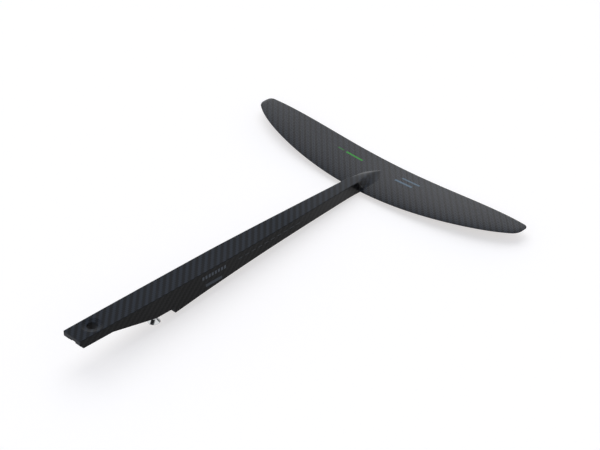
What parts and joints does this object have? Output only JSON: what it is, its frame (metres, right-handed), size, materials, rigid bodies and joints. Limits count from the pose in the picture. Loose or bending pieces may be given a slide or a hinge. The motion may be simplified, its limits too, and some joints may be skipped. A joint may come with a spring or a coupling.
{
  "type": "hydrofoil tail wing with boom",
  "caption": "Carbon hydrofoil tail wing moulded in one with its tapering boom, whose tongued end clamps to a mast foot with a screw.",
  "frame": {"origin": "axis of the tongue bore, on the tongue's lower seat face", "axes": "+X along the boom towards the wing, +Z along the tongue bore towards the flat deck, +Y to the left wing tip"},
  "size_m": [0.4311, 0.36, 0.0354],
  "materials": {
    "carbon_boom": "clear-coated twill carbon, dark blue-black",
    "carbon_wing": "clear-coated twill carbon, satin",
    "spar_laminate": "unidirectional carbon laminate, uncoated",
    "foam": "closed-cell structural foam",
    "screw_steel": "polished stainless steel",
    "insert_steel": "turned stainless steel"
  },
  "bodies": {
    "root": {"tongue_block": "carbon_boom", "threaded_insert": "insert_steel", "deck_laminate": "carbon_boom", "lower_shell": "carbon_boom", "upper_spar_cap": "spar_laminate", "lower_spar_cap": "spar_laminate", "boom_core": "foam", "root_plug": "spar_laminate", "nose_block": "carbon_boom", "wing_upper_skin": "carbon_wing", "wing_lower_skin": "carbon_wing", "wing_spar": "spar_laminate", "centre_block": "spar_laminate", "front_core_left": "foam", "front_core_right": "foam", "rear_core_left": "foam", "rear_core_right": "foam", "leading_edge_tow": "spar_laminate", "trailing_edge_tow": "spar_laminate"},
    "screw": {"clamp_screw": "screw_steel"}
  },
  "joints": [
    {"name": "screw_travel", "type": "slide", "parent": "root", "child": "screw", "axis": [0, 0, 1], "range_m": [-0.004, 0.0088]}
  ]
}
